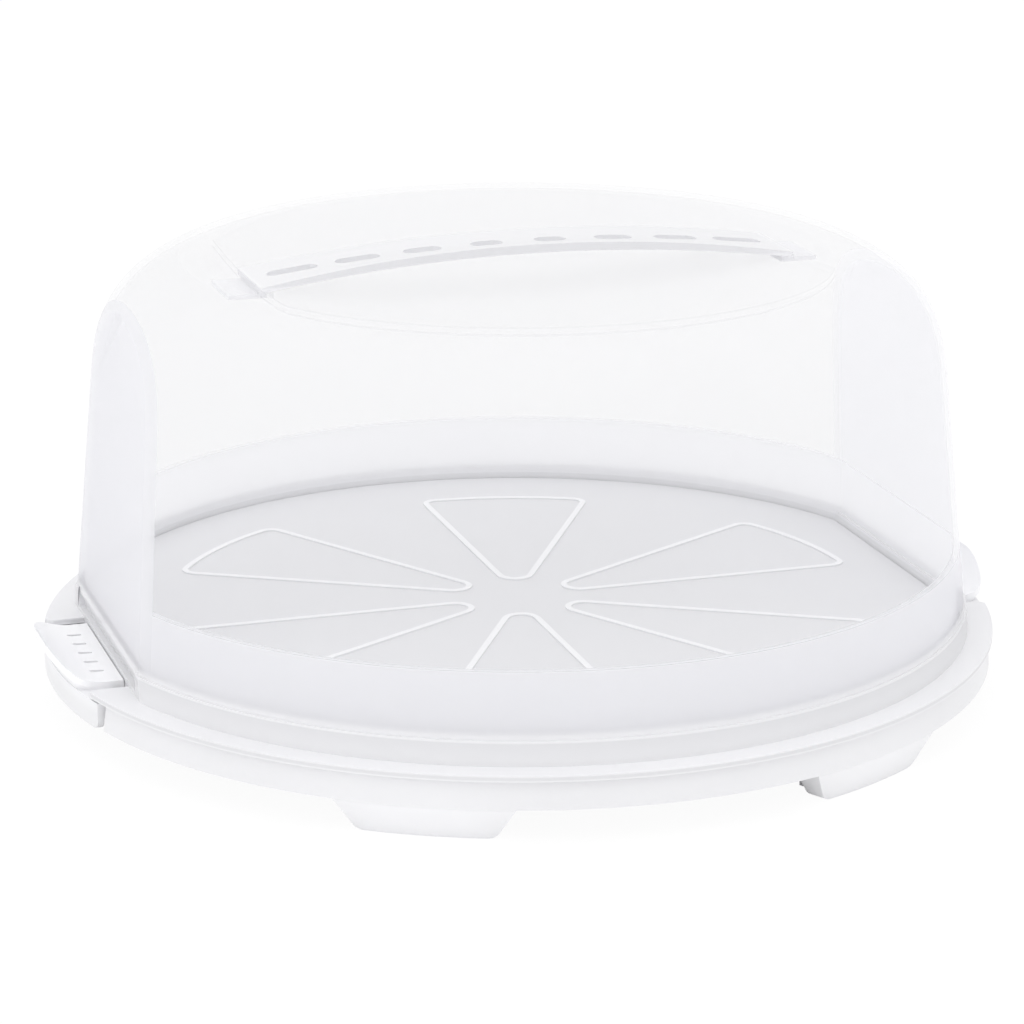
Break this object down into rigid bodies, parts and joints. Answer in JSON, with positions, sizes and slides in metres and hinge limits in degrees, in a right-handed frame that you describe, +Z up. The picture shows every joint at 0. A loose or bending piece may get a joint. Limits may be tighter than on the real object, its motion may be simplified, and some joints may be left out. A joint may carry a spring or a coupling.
{
  "type": "cake carrier",
  "caption": "Round cake carrier: footed base with a marked cake floor, clear lift-off dome with a pierced strap handle, and hinged rim clips that hold the dome down.",
  "frame": {"origin": "on the table under the middle of the base, at the bottom of the feet", "axes": "+X from clip to clip along the handle, +Z up"},
  "size_m": [0.3548, 0.345, 0.1631],
  "materials": {
    "base_white": "smooth moulded white plastic with a soft gloss",
    "dome_clear": "clear, slightly milky moulded plastic",
    "handle_white": "smooth moulded white plastic with a soft gloss",
    "clip_white": "smooth moulded white plastic with a soft gloss"
  },
  "bodies": {
    "base": {"base": "base_white"},
    "dome": {"dome": "dome_clear", "handle": "handle_white"},
    "clip_right": {"clip_right": "clip_white"},
    "clip_left": {"clip_left": "clip_white"}
  },
  "joints": [
    {"name": "dome_lift", "type": "slide", "parent": "base", "child": "dome", "axis": [0, 0, 1], "range_m": [0, 0.16]},
    {"name": "clip_right_hinge", "type": "hinge", "parent": "base", "child": "clip_right", "pos_m": [0.1576, 0, 0.0175], "axis": [0, 1, 0], "range_deg": [0, 75]},
    {"name": "clip_left_hinge", "type": "hinge", "parent": "base", "child": "clip_left", "pos_m": [-0.1576, 0, 0.0175], "axis": [0, -1, 0], "range_deg": [0, 75]}
  ]
}
